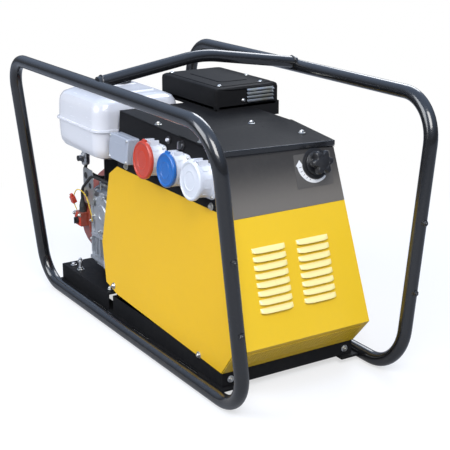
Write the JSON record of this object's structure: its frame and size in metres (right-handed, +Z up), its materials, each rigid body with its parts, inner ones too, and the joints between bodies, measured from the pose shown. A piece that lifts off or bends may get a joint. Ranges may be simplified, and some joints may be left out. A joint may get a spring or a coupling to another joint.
{
  "type": "engine driven welder",
  "caption": "Petrol engine, generator and welding controls in a sheet housing, carried in a frame of two bent tube loops with a lifting bar.",
  "frame": {"origin": "on the ground, at the middle of the frame's length and width", "axes": "+X towards the control end, +Y towards the exhaust side, +Z up"},
  "size_m": [0.99, 0.55, 0.659],
  "materials": {
    "black_plastic": "fine grain",
    "blue_plastic": "smooth blue",
    "cast_aluminium": "as cast, lightly blasted",
    "copper": "varnished copper",
    "cover_black": "satin black powder coat",
    "dark_iron": "dark, dull",
    "fan_red": "satin red-brown paint",
    "frame_black": "gloss black enamel",
    "front_yellow": "semi-gloss yellow enamel",
    "grey_plastic": "smooth grey",
    "panel_grey": "semi-gloss dark grey",
    "red_plastic": "smooth red",
    "rubber": "matt black",
    "side_yellow": "semi-gloss yellow enamel",
    "steel": "zinc plated",
    "tank_white": "gloss white enamel",
    "white_plastic": "smooth white"
  },
  "bodies": {
    "root": {"air_cleaner": "black_plastic", "base_rail_left": "cover_black", "base_rail_right": "cover_black", "base_tray": "cover_black", "breaker_block": "black_plastic", "bulkhead": "cover_black", "carburettor": "cast_aluminium", "control_panel": "panel_grey", "control_shelf": "cover_black", "crankcase": "cast_aluminium", "cylinder": "cast_aluminium", "cylinder_head": "cast_aluminium", "engine_bridge": "cover_black", "engine_cable": "rubber", "engine_mount_front": "rubber", "engine_mount_rear": "rubber", "exhaust_cover": "cover_black", "fan_cover": "fan_red", "frame_loop_left": "frame_black", "frame_loop_right": "frame_black", "fuel_tank": "tank_white", "generator_adapter": "cast_aluminium", "lifting_bar": "frame_black", "louvre_panel": "front_yellow", "muffler": "dark_iron", "output_panel": "cover_black", "output_reactor": "copper", "power_socket_large": "grey_plastic", "power_socket_middle": "white_plastic", "power_socket_small": "white_plastic", "rectifier": "cast_aluminium", "rheostat": "black_plastic", "side_panel_left": "side_yellow", "side_panel_right": "side_yellow", "socket_panel": "cover_black", "spark_plug_cap": "rubber", "starter_housing": "black_plastic", "stator": "dark_iron", "tank_bracket": "dark_iron", "terminal_box": "grey_plastic", "top_cover": "cover_black", "weld_socket_negative": "black_plastic", "weld_socket_positive": "black_plastic"},
    "drive_train": {"drive_shaft": "steel", "flywheel": "dark_iron", "generator_rotor": "copper"},
    "starter_pulley": {"starter_pulley": "black_plastic"},
    "starter_handle": {"starter_handle": "rubber"},
    "current_knob": {"current_knob": "black_plastic"},
    "lid_large": {"socket_lid_large": "red_plastic"},
    "lid_middle": {"socket_lid_middle": "blue_plastic"},
    "lid_small": {"socket_lid_small": "white_plastic"},
    "breaker_button": {"breaker_button": "white_plastic"},
    "selector_key": {"selector_key": "steel"},
    "engine_switch": {"engine_switch": "black_plastic"},
    "fuel_cap": {"fuel_cap": "black_plastic"},
    "fuel_lever": {"fuel_lever": "black_plastic"},
    "oil_cap": {"oil_cap": "grey_plastic"},
    "choke_lever": {"choke_lever": "black_plastic"},
    "throttle_lever": {"throttle_lever": "steel"}
  },
  "joints": [
    {"name": "engine_spin", "type": "hinge", "parent": "root", "child": "drive_train", "pos_m": [0, 0, 0.194], "axis": [1, 0, 0], "continuous": true},
    {"name": "handle_pull", "type": "slide", "parent": "root", "child": "starter_handle", "axis": [0, -1, 0], "range_m": [0, 0.11], "stiffness_N_per_m": 40},
    {"name": "pulley_spin", "type": "hinge", "parent": "root", "child": "starter_pulley", "pos_m": [-0.4256, 0, 0.194], "axis": [1, 0, 0], "range_deg": [0, 120]},
    {"name": "knob_turn", "type": "hinge", "parent": "root", "child": "current_knob", "pos_m": [0.30382, 0.091, 0.451], "axis": [0.9612, 0, 0.2759], "range_deg": [-135, 135]},
    {"name": "lid_large_hinge", "type": "hinge", "parent": "root", "child": "lid_large", "pos_m": [0.058, -0.17767, 0.48942], "axis": [-1, 0, 0], "range_deg": [0, 100], "stiffness_Nm_per_rad": 0.06, "springref_deg": -34.38},
    {"name": "lid_middle_hinge", "type": "hinge", "parent": "root", "child": "lid_middle", "pos_m": [0.16, -0.17806, 0.48443], "axis": [-1, 0, 0], "range_deg": [0, 100], "stiffness_Nm_per_rad": 0.05, "springref_deg": -34.38},
    {"name": "lid_small_hinge", "type": "hinge", "parent": "root", "child": "lid_small", "pos_m": [0.262, -0.17775, 0.48842], "axis": [-1, 0, 0], "range_deg": [0, 100], "stiffness_Nm_per_rad": 0.06, "springref_deg": -34.38},
    {"name": "button_press", "type": "slide", "parent": "root", "child": "breaker_button", "axis": [0, 0.997, -0.0768], "range_m": [0, 0.003], "stiffness_N_per_m": 300},
    {"name": "selector_turn", "type": "hinge", "parent": "root", "child": "selector_key", "pos_m": [0.158, -0.14419, 0.4905], "axis": [0, -0.997, 0.0768], "range_deg": [0, 90]},
    {"name": "switch_turn", "type": "hinge", "parent": "root", "child": "engine_switch", "pos_m": [-0.3632, -0.154, 0.194], "axis": [0, -1, 0], "range_deg": [0, 90]},
    {"name": "cap_turn", "type": "hinge", "parent": "root", "child": "fuel_cap", "pos_m": [-0.325, -0.045, 0.538], "axis": [0, 0, 1], "range_deg": [0, 90]},
    {"name": "fuel_lever_turn", "type": "hinge", "parent": "root", "child": "fuel_lever", "pos_m": [-0.345, -0.1533, 0.358], "axis": [0, 1, 0], "range_deg": [0, 90]},
    {"name": "oil_cap_turn", "type": "hinge", "parent": "root", "child": "oil_cap", "pos_m": [-0.225, -0.13, 0.114], "axis": [0, -1, 0], "range_deg": [0, 360]},
    {"name": "choke_turn", "type": "hinge", "parent": "root", "child": "choke_lever", "pos_m": [-0.3473, 0.138, 0.3077], "axis": [-1, 0, 0], "range_deg": [0, 60]},
    {"name": "throttle_turn", "type": "hinge", "parent": "root", "child": "throttle_lever", "pos_m": [-0.2725, 0.046, 0.2833], "axis": [0, 0, 1], "range_deg": [-20, 30]}
  ],
  "couplings": [
    {"joint": "pulley_spin", "follows": "handle_pull", "rad_per_m": 18.52}
  ]
}
